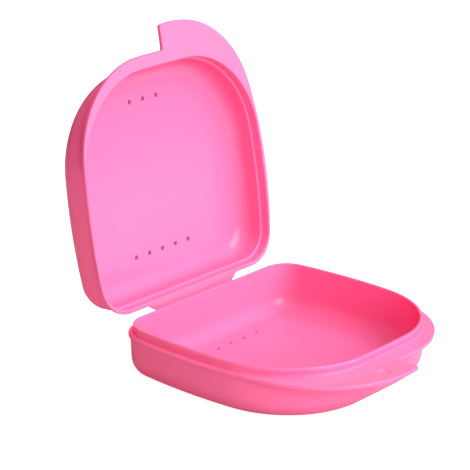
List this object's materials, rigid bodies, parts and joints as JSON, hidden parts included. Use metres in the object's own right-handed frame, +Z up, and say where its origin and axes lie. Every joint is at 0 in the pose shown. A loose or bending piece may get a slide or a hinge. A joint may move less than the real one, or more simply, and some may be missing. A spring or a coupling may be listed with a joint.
{
  "type": "denture case",
  "caption": "Hinged D-shaped case for a denture or retainer, with vent holes, a snap-over lip and offset thumb tabs, shown open.",
  "frame": {"origin": "middle of the flat foot the tray stands on", "axes": "+Z up; +X to the right seen from the front; -Y towards the thumb tabs, +Y towards the hinge"},
  "size_m": [0.0844, 0.1123, 0.0994],
  "materials": {
    "tray_pp": "gloss, moulded polypropylene",
    "lid_pp": "gloss, moulded polypropylene",
    "hinge_pp": "satin, flexed polypropylene film"
  },
  "bodies": {
    "tray": {"tray_shell": "tray_pp", "tray_flange": "tray_pp", "tray_lip": "tray_pp", "tray_snap_bead": "tray_pp", "tray_thumb_tab": "tray_pp", "tray_hinge_leaf": "tray_pp", "hinge_film": "hinge_pp"},
    "lid": {"lid_hinge_leaf": "lid_pp", "lid_shell": "lid_pp", "lid_flange": "lid_pp", "lid_thumb_tab": "lid_pp"}
  },
  "joints": [
    {"name": "lid_hinge", "type": "hinge", "parent": "tray", "child": "lid", "pos_m": [0, 0.0394, 0.0139], "axis": [-1, 0, 0], "range_deg": [-100.5, 79.5], "deforming": ["hinge_film"]}
  ]
}
